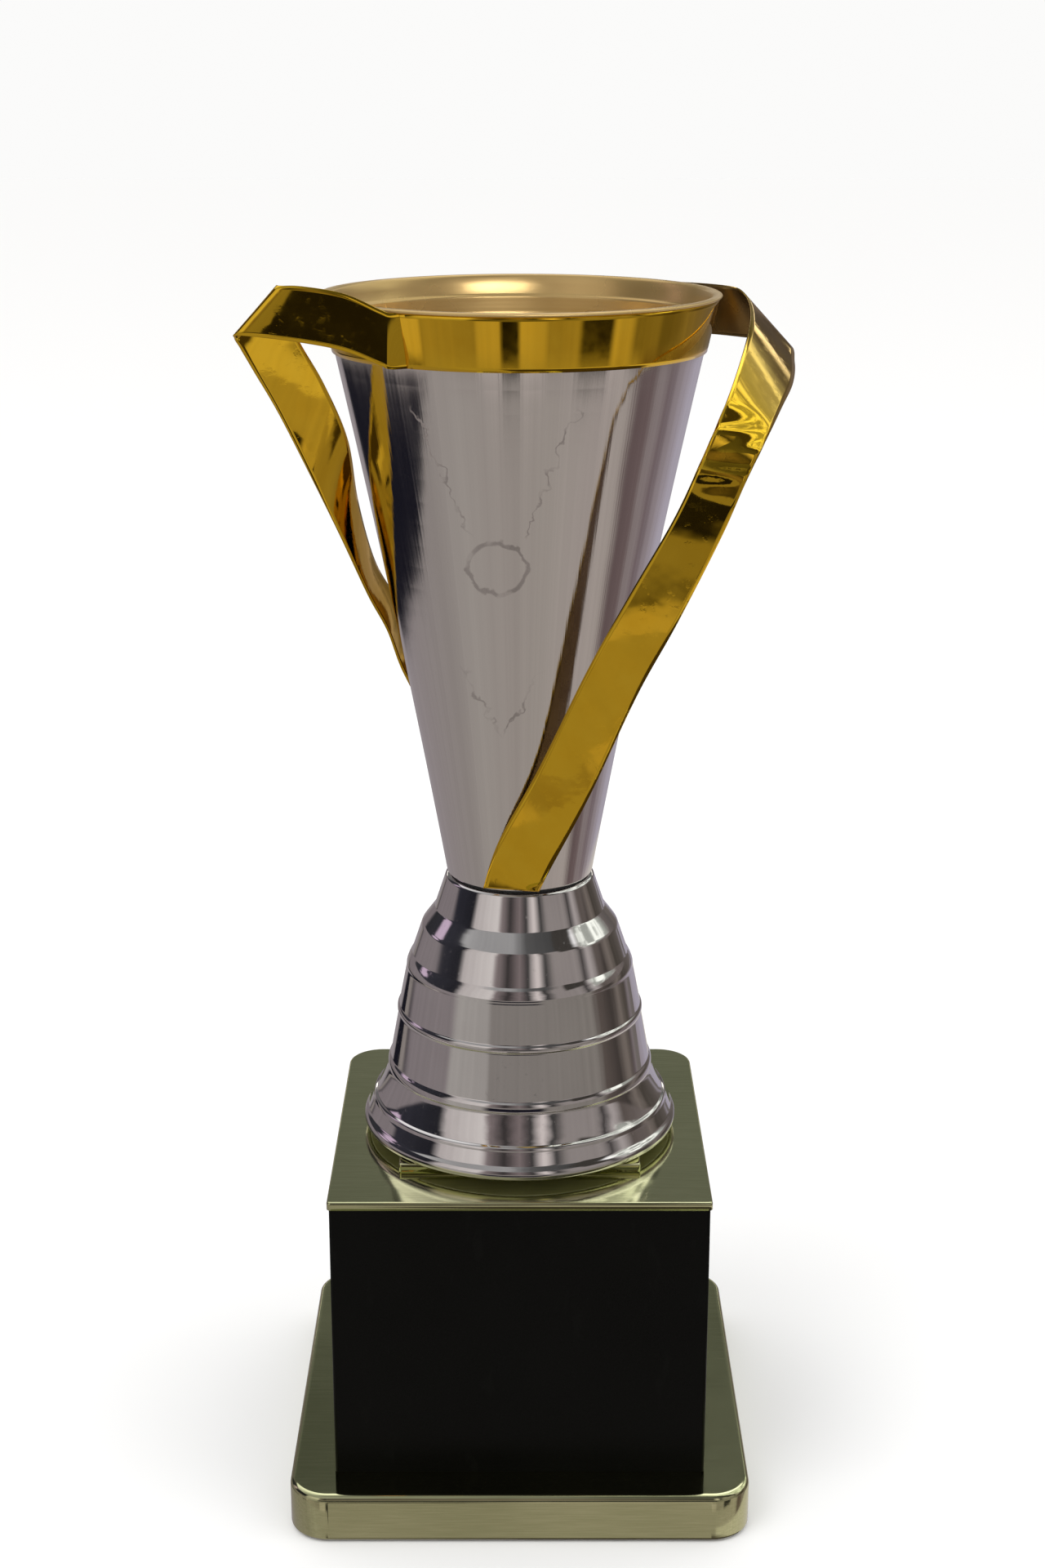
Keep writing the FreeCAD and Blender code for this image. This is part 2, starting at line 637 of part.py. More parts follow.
def handle_strip(name, turn, leg):
    """One strip: half a band round the rim and a leg. turn is the crease's angle about Z, in degrees."""
    thick = size("strip_thick")
    high = size("cup_rim")
    low = high - size("strip_width")
    corners = [
        Vector(wall_radius(high), 0, high),
        Vector(wall_radius(high) + thick, 0, high),
        Vector(wall_radius(low) + thick, 0, low),
        Vector(wall_radius(low), 0, low),
    ]
    rim = Part.Face(Part.makePolygon(corners + corners[:1]))
    rim.rotate(Vector(0, 0, 0), Vector(0, 0, 1), turn)
    band = rim.revolve(Vector(0, 0, 0), Vector(0, 0, 1), size("band_sweep"))

    crease = [Rotation(Vector(0, 0, 1), turn).multVec(corner) for corner in corners]
    path = [(crease[0] + crease[2]) / 2] + [(Vector(*a) + Vector(*b)) / 2 for a, b in leg]
    steps = [(end - start).normalize() for start, end in zip(path, path[1:])]
    sections = [crease]
    for line, arriving, leaving in zip(leg, steps, steps[1:] + steps[-1:]):
        sections.append(section(line, arriving + leaving, thick))
    faces = [Part.Face(Part.makePolygon(end + end[:1])) for end in (sections[0], sections[-1])]
    for near, far in zip(sections, sections[1:]):
        for i in range(4):
            j = (i + 1) % 4
            ends = [Part.makeLine(end[i], end[j]) for end in (near, far)]
            faces.append(Part.makeRuledSurface(*ends))
    run = Part.makeSolid(Part.makeShell(faces))
    if run.Volume < 0:
        run.reverse()
    strip = doc.addObject("Part::Feature", name)
    strip.Shape = band.fuse(run).removeSplitter()
    strip.Label = name
    pieces.append(strip)


handle_strip("front_leg_strip", size("crease_angle"), FRONT_LEG)
handle_strip("back_leg_strip", size("crease_angle") - 180, BACK_LEG)

# ---------------------------------------------------------------- check and write
doc.recompute()
for thing in doc.Objects:
    if any(word in thing.State for word in ("Invalid", "Error")):
        raise RuntimeError(f"{thing.Label} is {thing.State}")
os.makedirs("parts", exist_ok=True)
for old in os.listdir("parts"):
    os.remove(os.path.join("parts", old))
for piece in pieces:
    shape = piece.Shape
    if shape.isNull() or not shape.isValid() or not shape.Solids:
        raise RuntimeError(f"{piece.Label} has no valid solid")
    print(f"{piece.Label:16s} solids {len(shape.Solids)}  volume {shape.Volume:10.1f}")
    shape.exportStep(os.path.join("parts", piece.Label + ".step"))
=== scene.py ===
import bmesh
import bpy
import math
from mathutils import Matrix, Vector, noise


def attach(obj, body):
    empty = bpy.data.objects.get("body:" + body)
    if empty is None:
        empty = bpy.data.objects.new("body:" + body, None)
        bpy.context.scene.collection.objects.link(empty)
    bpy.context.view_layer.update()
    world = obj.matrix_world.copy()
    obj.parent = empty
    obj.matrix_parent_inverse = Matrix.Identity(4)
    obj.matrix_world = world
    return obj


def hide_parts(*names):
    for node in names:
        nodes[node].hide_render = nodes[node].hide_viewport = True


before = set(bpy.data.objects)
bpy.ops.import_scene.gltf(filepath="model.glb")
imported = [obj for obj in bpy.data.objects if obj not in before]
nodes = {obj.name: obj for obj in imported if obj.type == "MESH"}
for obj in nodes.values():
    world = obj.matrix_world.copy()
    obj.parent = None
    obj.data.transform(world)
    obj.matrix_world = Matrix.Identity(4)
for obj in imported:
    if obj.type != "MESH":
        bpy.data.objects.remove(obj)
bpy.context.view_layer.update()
MM = 0.001

# ---------------------------------------------------------------- felt foot
# A thin sheet of short black-green baize, which the whole trophy stands on. It is cut to fit inside
# the tray's wall and glued under the base board.


class Wire:
    """An output of a shader node. Working with it as with a number adds the Math nodes."""

    def __init__(self, finish, socket):
        self.finish, self.socket = finish, socket

    def math(self, operation, *others):
        return self.finish.node("Math", {"operation": operation}, [self, *others])

    def __add__(self, other):
        return self.math("ADD", other)

    def __mul__(self, other):
        return self.math("MULTIPLY", other)

    def __sub__(self, other):
        return self.math("SUBTRACT", other)

    def __rsub__(self, other):
        return self.finish.node("Math", {"operation": "SUBTRACT"}, [other, self])

    def __truediv__(self, other):
        return self.math("DIVIDE", other)

    __radd__, __rmul__ = __add__, __mul__


class Finish:
    """A node tree that is being filled: a material's, or the room's."""

    def __init__(self, name, kind="materials"):
        self.owner = getattr(bpy.data, kind).new(name)
        self.owner.use_nodes = True
        self.tree = self.owner.node_tree
        self.tree.nodes.clear()

    def node(self, kind, settings=(), inputs=(), output=0):
        """Adds a node: its settings first, then the values or wires of its inputs. Returns one output."""
        node = self.tree.nodes.new("ShaderNode" + kind)
        for name, value in dict(settings).items():
            if name == "stops":
                ramp = node.color_ramp
                while len(ramp.elements) < len(value):
                    ramp.elements.new(1.0)
                for element, (place, colour) in zip(ramp.elements, value):
                    element.position = place
                    element.color = (*colour, 1.0)
            else:
                setattr(node, name, value)
        for key, value in (inputs.items() if isinstance(inputs, dict) else enumerate(inputs)):
            if isinstance(value, Wire):
                self.tree.links.new(value.socket, node.inputs[key])
            else:
                node.inputs[key].default_value = value
        return Wire(self, node.outputs[output]) if node.outputs else None

    def place(self, stretch=(1.0, 1.0, 1.0)):
        """The point on the piece, in metres times stretch."""
        here = self.node("TexCoord", output="Object")
        return self.node("Mapping", inputs={"Vector": here, "Scale": stretch})

    def axes(self, vector):
        """The three parts of a vector."""
        parts = self.node("SeparateXYZ", inputs=[vector])
        return [Wire(self, parts.socket.node.outputs[k]) for k in range(3)]

    def noise(self, scale, detail=3.0, stretch=(1.0, 1.0, 1.0), rough=0.5):
        """A cloudy value from 0 to 1, scale features to the metre."""
        inputs = {"Vector": self.place(stretch), "Scale": scale, "Detail": detail, "Roughness": rough}
        return self.node("TexNoise", inputs=inputs, output="Fac")

    def rise(self, value, low, high, to_low=0.0, to_high=1.0):
        """A soft step: to_low up to low, to_high from high on."""
        return self.node("MapRange", {"interpolation_type": "SMOOTHSTEP"},
                         [value, low, high, to_low, to_high])

    def blend(self, share, first, second):
        """A colour between two, the second where share is 1."""
        return self.node("Mix", {"data_type": "RGBA"}, {0: share, 6: first, 7: second}, output=2)

    def bump(self, height, depth, strength=1.0):
        """A normal that makes height, from 0 to 1, look depth metres deep."""
        inputs = {"Height": height, "Distance": depth, "Strength": strength}
        return self.node("Bump", inputs=inputs, output="Normal")

    def surface(self, **values):
        """Ends the material in a Principled shader. An underscore in a name stands for a space."""
        inputs = {name.replace("_", " "): value for name, value in values.items()}
        return self.end(self.node("BsdfPrincipled", inputs=inputs, output="BSDF"))

    def end(self, shader, kind="OutputMaterial"):
        """Shows a shader as the surface, and returns the finished material or world."""
        self.node(kind, inputs={"Surface": shader})
        return self.owner


def colour(red, green, blue):
    return (red, green, blue, 1.0)


def coat(piece, material):
    """Gives one material to all of a CAD node or a new piece."""
    if not piece.material_slots:
        piece.data.materials.append(material)
    for place in piece.material_slots:
        place.material = material


def baize():
    felt = Finish("baize")
    fibres = felt.noise(2600.0, 4.0)
    clouds = felt.noise(60.0, 2.0)
    return felt.surface(
        Base_Color=felt.blend(fibres * 0.7 + clouds * 0.3,
                              colour(0.006, 0.012, 0.008), colour(0.035, 0.055, 0.04)),
        Roughness=0.95, Normal=felt.bump(fibres, 0.0003))


coat(nodes["felt_pad"], baize())

# ---------------------------------------------------------------- base board and its screws
# A square of pressed brown fibreboard closes the tray from below. Four zinc-plated flat-head screws,
# countersunk in it, hold it to the tray.


def hardboard():
    board = Finish("hardboard")
    chips = board.noise(900.0, 5.0)
    stain = board.noise(30.0, 2.0)
    return board.surface(
        Base_Color=board.blend(chips * 0.6 + stain * 0.4, colour(0.10, 0.06, 0.03), colour(0.30, 0.20, 0.11)),
        Roughness=0.75, Normal=board.bump(chips, 0.0002))


def zinc_plating():
    zinc = Finish("zinc_plating")
    spangle = zinc.noise(700.0, 3.0)
    return zinc.surface(
        Base_Color=zinc.blend(spangle, colour(0.45, 0.45, 0.44), colour(0.72, 0.72, 0.70)),
        Metallic=1.0, Roughness=zinc.rise(spangle, 0.3, 0.7, 0.22, 0.42),
        Normal=zinc.bump(spangle, 0.00005))


plated = zinc_plating()
coat(nodes["base_board"], hardboard())
coat(nodes["board_screws"], plated)

# ---------------------------------------------------------------- lower plate
# A moulded plastic tray with a polished gold skin. Its four corners are round and its top edge is
# softened; the plinth block stands on its flat top.
PLATE_WIDE, PLATE_FOOT, PLATE_TOP = 111.0, 0.6, 12.6
PLATE_CORNER, PLATE_EDGE, PLATE_WALL = 9.5, 1.4, 2.0
LARGE_FLAT = 300.0  # mm2: faces above it are the flats of a slab, not its roundings
ON_LEVEL = 0.01


def make_object(bm, name):
    """Turns a bmesh into an object at the origin."""
    mesh = bpy.data.meshes.new(name)
    bm.to_mesh(mesh)
    bm.free()
    thing = bpy.data.objects.new(name, mesh)
    bpy.context.scene.collection.objects.link(thing)
    return thing


def finish_mesh(bm, name):
    """Turns a bmesh into a smooth piece that rides on the trophy."""
    bmesh.ops.recalc_face_normals(bm, faces=bm.faces[:])
    for face in bm.faces:
        face.smooth = True
    piece = make_object(bm, name)
    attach(piece, "root")
    return piece


def slab(wide, low, high):
    """A square block about the axis, between two levels, in millimetres."""
    bm = bmesh.new()
    bmesh.ops.create_cube(bm, size=1.0)
    bmesh.ops.scale(bm, vec=Vector((wide, wide, high - low)) * MM, verts=bm.verts[:])
    bmesh.ops.translate(bm, vec=(0, 0, (low + high) / 2 * MM), verts=bm.verts[:])
    return bm


def round_off(bm, radius, segments, wanted):
    """Rounds the edges whose middle point and direction pass the test wanted."""
    edges = []
    for edge in bm.edges:
        middle = (edge.verts[0].co + edge.verts[1].co) / 2
        along = (edge.verts[1].co - edge.verts[0].co).normalized()
        if wanted(middle / MM, along):
            edges.append(edge)
    bmesh.ops.bevel(bm, geom=edges, offset=radius * MM, segments=segments, profile=0.5, affect="EDGES",
                    material=-1, clamp_overlap=True)


def upright(middle, along):
    return abs(along.z) > 0.9


def hold_flats(bm, margin=0.25):
    """A narrow border on each large flat, so that its shine stays flat up to its rounded edges."""
    flats = [face for face in bm.faces if face.calc_area() > LARGE_FLAT * MM * MM]
    bmesh.ops.inset_individual(bm, faces=flats, thickness=margin * MM, use_even_offset=True)


def gold_skin(name, grain):
    """Pale greenish gold: polished, with a fine brushed grain along X and a few handling marks."""
    gold = Finish(name)
    brushed = gold.noise(90.0, 5.0, stretch=(1.0, 26.0, 26.0), rough=0.6)
    haze = gold.noise(26.0, 3.0)
    specks = gold.noise(1500.0, 2.0)
    tone = gold.rise(brushed * 0.6 + haze * 0.4, 0.3, 0.7)
    return gold.surface(
        Base_Color=gold.blend(tone, colour(0.58, 0.59, 0.33), colour(0.72, 0.72, 0.43)),
        Metallic=1.0,
        Roughness=gold.rise(haze, 0.35, 0.7, 0.04, 0.10) + specks * 0.02,
        Normal=gold.bump(brushed * 0.8 + specks * 0.2, grain))


plate = slab(PLATE_WIDE, PLATE_FOOT, PLATE_TOP)
round_off(plate, PLATE_CORNER, 14, upright)
round_off(plate, PLATE_EDGE, 6, lambda middle, along: middle.z > PLATE_TOP - ON_LEVEL)
round_off(plate, PLATE_EDGE / 2, 3, lambda middle, along: middle.z < PLATE_FOOT + ON_LEVEL)
underside = [face for face in plate.faces
             if face.normal.z < -0.9 and face.calc_area() > LARGE_FLAT * MM * MM]
bmesh.ops.inset_region(plate, faces=underside, thickness=(PLATE_WALL - PLATE_EDGE / 2) * MM,
                       use_even_offset=True)
bmesh.ops.translate(plate, vec=(0, 0, (PLATE_TOP - PLATE_FOOT - PLATE_WALL) * MM),
                    verts=list({vert for face in underside for vert in face.verts}))
hold_flats(plate)
lower_plate = finish_mesh(plate, "lower_tray")
coat(lower_plate, gold_skin("gold_tray_skin", 0.000004))
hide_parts("lower_plate")

# ---------------------------------------------------------------- ballast
# A rough cast weight that stands on the tray, inside the hollow block, and makes the trophy steadier.
# The tie rod passes through it.


def cast_grey():
    cast = Finish("cast_grey")
    pits = cast.noise(450.0, 5.0)
    return cast.surface(Base_Color=cast.blend(pits, colour(0.07, 0.07, 0.07), colour(0.20, 0.195, 0.19)),
                        Roughness=0.85, Normal=cast.bump(pits, 0.0006))


coat(nodes["ballast_block"], cast_grey())

# ---------------------------------------------------------------- plinth block
# A hollow black moulding, half gloss with a fine even texture. Its front uprights are sharp, the
# rear ones round.
BLOCK_WIDE, BLOCK_TOP = 89.5, 82.9
BLOCK_REAR, BLOCK_FRONT, BLOCK_MARGIN = 8.0, 0.6, 0.15


def black_moulding():
    black = Finish("black_moulding")
    texture = black.noise(1900.0, 3.0)
    cloud = black.noise(34.0, 4.0)
    rubbed = black.rise(black.noise(240.0, 5.0, stretch=(1.0, 1.0, 0.4)), 0.60, 0.72)
    return black.surface(
        Base_Color=black.blend(cloud * 0.7 + rubbed * 0.3,
                               colour(0.0008, 0.0009, 0.0007), colour(0.0032, 0.0032, 0.0024)),
        Roughness=black.rise(cloud, 0.3, 0.7, 0.30, 0.42) + rubbed * 0.1,
        Specular_IOR_Level=0.14,
        Normal=black.bump(texture, 0.00005))


def round_uprights(bm, wide, rear, rear_steps, front, front_steps):
    """Rounds a slab's two rear uprights, and then its two front ones less."""
    round_off(bm, rear, rear_steps, lambda middle, along: upright(middle, along) and middle.y > 0)
    round_off(bm, front, front_steps, lambda middle, along: upright(middle, along) and middle.y < 0
              and abs(middle.x) > wide / 2 - ON_LEVEL)


block = slab(BLOCK_WIDE, PLATE_TOP, BLOCK_TOP)
round_uprights(block, BLOCK_WIDE, BLOCK_REAR, 12, BLOCK_FRONT, 4)
hold_flats(block, BLOCK_MARGIN)
column = finish_mesh(block, "plinth_block")
coat(column, black_moulding())
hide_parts("column_shell")

# ---------------------------------------------------------------- top plate and pad
# Two gold anodised sheets, one on the other. The large one covers the block and has the block's
# corners; the small one is square and carries the bell.
SHEET_WIDE, SHEET_THICK = 90.5, 2.0
SHEET_REAR, SHEET_FRONT, SHEET_EDGE = 8.5, 1.0, 0.5
PAD_WIDE, PAD_THICK, PAD_EDGE = 58.0, 2.0, 0.3

gold_sheet_finish = gold_skin("gold_sheet_skin", 0.000006)
SHEET_TOP = BLOCK_TOP + SHEET_THICK
sheet = slab(SHEET_WIDE, BLOCK_TOP, SHEET_TOP)
round_uprights(sheet, SHEET_WIDE, SHEET_REAR, 12, SHEET_FRONT, 5)
round_off(sheet, SHEET_EDGE, 4, lambda middle, along: middle.z > SHEET_TOP - ON_LEVEL)
hold_flats(sheet)
top_sheet = finish_mesh(sheet, "top_sheet")
coat(top_sheet, gold_sheet_finish)
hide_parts("top_plate")

PAD_TOP = SHEET_TOP + PAD_THICK
small = slab(PAD_WIDE, SHEET_TOP, PAD_TOP)
round_off(small, 2 * PAD_EDGE, 4, upright)
round_off(small, PAD_EDGE, 3, lambda middle, along: middle.z > PAD_TOP - ON_LEVEL)
hold_flats(small)
bell_pad = finish_mesh(small, "bell_pad")
coat(bell_pad, gold_sheet_finish)
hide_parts("riser_pad")

# ---------------------------------------------------------------- stepped bell
# A thin plastic moulding with a bright silver skin: six sloping tiers, parted by rounded ledges and
# beads, on a rolled foot. A white disc and a sleeve inside it take the pull of the tie rod.
BELL_WALL, HOLD, LONG_RUN = 1.3, 0.2, 2.0
ROOF_TOP, ROOF_LOW, ROOF_INSIDE, ROD_HOLE = 151.5, 150.2, 16.9, 2.75
BELL_SKIN = [  # radius, height and rounding of each corner, from the foot up
    (38.2, 86.95, 0.3), (38.9, 87.7, 0.6), (38.9, 89.2, 0.8), (38.0, 90.1, 0.3),
    (37.7, 90.5, 0.15), (36.6, 93.0, 0.15), (36.4, 93.4, 0.15), (36.2, 94.4, 0.3), (35.5, 94.7, 0.1),
    (33.7, 98.3, 2.5), (32.6, 101.6, 0.15), (32.8, 102.0, 0.2), (32.6, 103.5, 0.5), (32.0, 104.3, 0.1),
    (29.9, 115.8, 0.15), (30.2, 116.2, 0.2), (30.2, 117.3, 0.4), (29.7, 117.8, 0.1),
    (27.8, 127.5, 0.2), (27.8, 128.3, 0.3), (27.3, 129.8, 1.0), (26.4, 131.2, 0.1),
    (23.9, 138.6, 0.4), (23.4, 139.3, 0.4), (21.2, 142.2, 0.8), (20.7, 142.9, 0.2),
    (18.0, 151.0, 0.2), (17.6, 151.3, 0.1), (17.2, 151.5, 0.1),
]


def turned(name, corners, around=224, segments=3):
    """A closed ring of corners, each rounded, turned full circle about the axis."""
    bm = bmesh.new()
    loop = [bm.verts.new((radius * MM, 0.0, height * MM)) for radius, height, rounding in corners]
    for here, beyond in zip(loop, loop[1:] + loop[:1]):
        bm.edges.new((here, beyond))
    for vert, (radius, height, rounding) in zip(loop, corners):
        if rounding:
            bmesh.ops.bevel(bm, geom=[vert], offset=rounding * MM, segments=segments, profile=0.5,
                            affect="VERTICES", material=-1, clamp_overlap=True)
    # A point near both ends of each long run keeps its shine straight up to the rounding.
    for edge in [edge for edge in bm.edges if edge.calc_length() > LONG_RUN * MM]:
        near = HOLD * MM / edge.calc_length()
        rest, middle = bmesh.utils.edge_split(edge, edge.verts[0], near)
        longer = max((rest, edge), key=lambda part: part.calc_length())
        bmesh.utils.edge_split(longer, longer.other_vert(middle), near)
    bmesh.ops.spin(bm, geom=bm.verts[:] + bm.edges[:], cent=(0, 0, 0), axis=(0, 0, 1), dvec=(0, 0, 0),
                   angle=math.tau, steps=around, use_merge=True, use_duplicate=False)
    bmesh.ops.remove_doubles(bm, verts=bm.verts[:], dist=1e-7)
    return finish_mesh(bm, name)


def bright_skin():
    """Vacuum-coated silver over plastic: a clear mirror that ripples a little, with a faint violet cast."""
    bright = Finish("bright_skin")
    ripple = bright.noise(38.0, 2.0, stretch=(1.0, 1.0, 0.5))
    cloud = bright.noise(70.0, 4.0)
    dust = bright.rise(bright.noise(900.0, 4.0), 0.62, 0.75)
    return bright.surface(
        Base_Color=bright.blend(cloud, colour(0.72, 0.69, 0.69), colour(0.84, 0.82, 0.81)),
        Metallic=1.0, Roughness=bright.rise(cloud, 0.3, 0.7, 0.035, 0.085) + dust * 0.12,
        Normal=bright.bump(ripple, 0.0006, 0.35))


bell_roof = [(ROD_HOLE, ROOF_TOP, 0.0), (ROD_HOLE, ROOF_LOW, 0.0), (ROOF_INSIDE, ROOF_LOW, 0.0)]
bell_inside = [(radius - BELL_WALL, height, 0.0) for radius, height, rounding in reversed(BELL_SKIN[:-3])]
bell = turned("stepped_bell", BELL_SKIN + bell_roof + bell_inside)
coat(bell, bright_skin())
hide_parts("riser_bell")


def white_moulding():
    white = Finish("white_moulding")
    cloud = white.noise(120.0, 3.0)
    return white.surface(Base_Color=white.blend(cloud, colour(0.66, 0.64, 0.58), colour(0.78, 0.77, 0.72)),
                         Roughness=0.5, Normal=white.bump(cloud, 0.0001))


inner_white = white_moulding()
coat(nodes["riser_floor"], inner_white)
coat(nodes["riser_sleeve"], inner_white)

# ---------------------------------------------------------------- neck gasket
# A thin black rubber ring, clamped by the tie rod between the bell's roof and the cup's foot. It
# shows as a fine dark line.


def black_rubber():
    rubber = Finish("black_rubber")
    grain = rubber.noise(1400.0, 3.0)
    return rubber.surface(
        Base_Color=rubber.blend(grain, colour(0.010, 0.010, 0.010), colour(0.03, 0.03, 0.03)),
        Roughness=0.7, Normal=rubber.bump(grain, 0.0001))


coat(nodes["neck_gasket"], black_rubber())

# ---------------------------------------------------------------- cup
# A tall cone spun from thin sheet, bright silver outside, its side a little hollow. Faint upright
# tool lines run down it, and a thin garland with a ring is etched on its front.
CUP_LOW, CUP_RIM = 152.3, 289.3
CUP_FOOT, CUP_MOUTH, CUP_HOLLOW = 17.6, 44.8, 0.82
CUP_WALL, CUP_FLOOR = 0.8, 1.2
SIDE_TOP = CUP_RIM - 0.1  # the side ends just under the lip


def cup_radius(height):
    """Outer radius of the cup's side at a height, in millimetres."""
    share = (height - CUP_LOW) / (CUP_RIM - CUP_LOW)
    return CUP_FOOT + share * (CUP_MOUTH - CUP_FOOT) - 4 * CUP_HOLLOW * share * (1 - share)


def side(low, high, steps, inwards=0.0):
    """Corners up the cup's side between two heights, moved inwards."""
    heights = [low + (high - low) * i / steps for i in range(steps + 1)]
    return [(cup_radius(height) - inwards, height, 0.0) for height in heights]


def spun_silver():
    silver = Finish("spun_silver")
    x, y, z = silver.axes(silver.place())
    # Tool lines follow the side, so they read the direction from the axis and hardly the height.
    turn = silver.node("VectorMath", {"operation": "NORMALIZE"},
                       [silver.node("CombineXYZ", inputs=[x, y, 0.0])])
    lines = silver.node("TexNoise", output="Fac",
                        inputs={"Vector": turn, "Scale": 19.0, "Detail": 5.0, "Roughness": 0.62})
    cloud = silver.noise(30.0, 3.0)
    wobble = silver.noise(300.0, 3.0) - 0.5
    front = silver.rise(y, -0.018, -0.012, 1.0, 0.0)
    ring_x, ring_z = -0.0049, 0.2330
    across = (x - ring_x + wobble * 0.0030) / 0.0066
    up = (z - ring_z + wobble * 0.0030) / 0.0060
    ring = (across * across + up * up).math("SQRT")
    garland = silver.rise((ring - 1.0).math("ABSOLUTE"), 0.04, 0.12, 1.0, 0.0)
    # A pair of strings spreads upwards from the ring, and another from a point below it: their middle
    # line, the height they start at, how far apart they start, how fast they spread, the heights they span.
    for middle, start, apart, slope, low, high in (
            (ring_x, 0.2385, 0.0050, 0.42, 0.2395, 0.270),
            (ring_x + 0.001, 0.1905, 0.0, 0.46, 0.1915, 0.2100)):
        reach = (z - start) * slope + apart + wobble * 0.0075
        gap = ((x - middle).math("ABSOLUTE") - reach).math("ABSOLUTE")
        span = silver.rise(z, low, low + 0.002) * silver.rise(z, high - 0.006, high, 1.0, 0.0)
        garland = garland + silver.rise(gap, 0.0001, 0.0005, 1.0, 0.0) * span
    worn = silver.rise(silver.noise(190.0, 2.0), 0.42, 0.56, 0.25, 1.0)
    etched = garland.math("MINIMUM", 1.0) * front * worn
    tone = silver.blend(lines, colour(0.74, 0.70, 0.69), colour(0.88, 0.85, 0.83))
    return silver.surface(
        Base_Color=silver.blend(etched * 0.38, tone, colour(0.22, 0.18, 0.18)),
        Metallic=1.0,
        Roughness=silver.rise(cloud * 0.5 + lines * 0.5, 0.35, 0.65, 0.035, 0.08) + etched * 0.2,
        Normal=silver.bump(lines * 0.8 + cloud * 0.2, 0.0009, 0.06))


outer_side = side(CUP_LOW, SIDE_TOP, 26)
inner_side = side(CUP_LOW + CUP_FLOOR, SIDE_TOP, 20, CUP_WALL)[::-1]
cup = turned("silver_cup", [(ROD_HOLE, CUP_LOW, 0.0)] + outer_side + inner_side
             + [(ROD_HOLE, CUP_LOW + CUP_FLOOR, 0.0)], around=256)
coat(cup, spun_silver())
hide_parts("cup_shell")

# ---------------------------------------------------------------- gold lining
# A second cone of thin sheet inside the cup, satin gold. It opens in a short step below the mouth and
# turns over the rim in a narrow rolled lip.
LIP_TOP, LIP_OUT = 290.0, 46.0
LINING_GAP, LINING_INNER = 0.02, 0.5  # how far the lining's two sides lie inside the cup's wall
LINING_LOW, LINING_FLOOR, LINING_BEND = CUP_LOW + CUP_FLOOR, CUP_LOW + 1.7, CUP_LOW + 8


def satin_gold():
    satin = Finish("satin_gold")
    z = satin.axes(satin.place())[2]
    rings = satin.node("TexNoise", {"noise_dimensions": "1D"}, {"W": z, "Scale": 700.0, "Detail": 4.0},
                       output="Fac")
    cloud = satin.noise(45.0, 4.0)
    return satin.surface(
        Base_Color=satin.blend(cloud, colour(0.48, 0.32, 0.12), colour(0.62, 0.44, 0.19)),
        Metallic=0.72, Roughness=satin.rise(cloud, 0.3, 0.7, 0.26, 0.36),
        Normal=satin.bump(rings * 0.6 + cloud * 0.4, 0.00008, 0.5))


lining = turned("gold_lining", [
    (ROD_HOLE, LINING_LOW, 0.0), (cup_radius(LINING_LOW) - CUP_WALL - LINING_GAP, LINING_LOW, 0.0),
    *side(LINING_BEND, SIDE_TOP, 18, CUP_WALL + LINING_GAP),
    (44.6, CUP_RIM, 0.0), (LIP_OUT - 0.2, SIDE_TOP, 0.25), (LIP_OUT, CUP_RIM + 0.3, 0.25),
    (LIP_OUT - 0.5, LIP_TOP, 0.3), (43.9, LIP_TOP, 0.7), (43.2, CUP_RIM - 1.4, 0.5),
    (42.6, CUP_RIM - 4.0, 0.3), (42.0, CUP_RIM - 4.3, 0.3),
    *side(LINING_BEND, CUP_RIM - 8.0, 16, CUP_WALL + LINING_INNER)[::-1],
    (cup_radius(LINING_FLOOR) - CUP_WALL - LINING_INNER, LINING_FLOOR, 0.8), (ROD_HOLE, LINING_FLOOR, 0.0),
], around=256)
coat(lining, satin_gold())
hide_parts("bowl_liner")

# ---------------------------------------------------------------- tie rod, nuts and washers
# The M5 rod clamps the whole stack. One nut and a wide washer sit on the cup's floor; the other nut,
# a spring washer and a wide washer sit inside the tray.
for name in ("tie_rod", "upper_nut", "upper_washer", "lower_nut", "lower_washer", "spring_washer"):
    coat(nodes[name], plated)

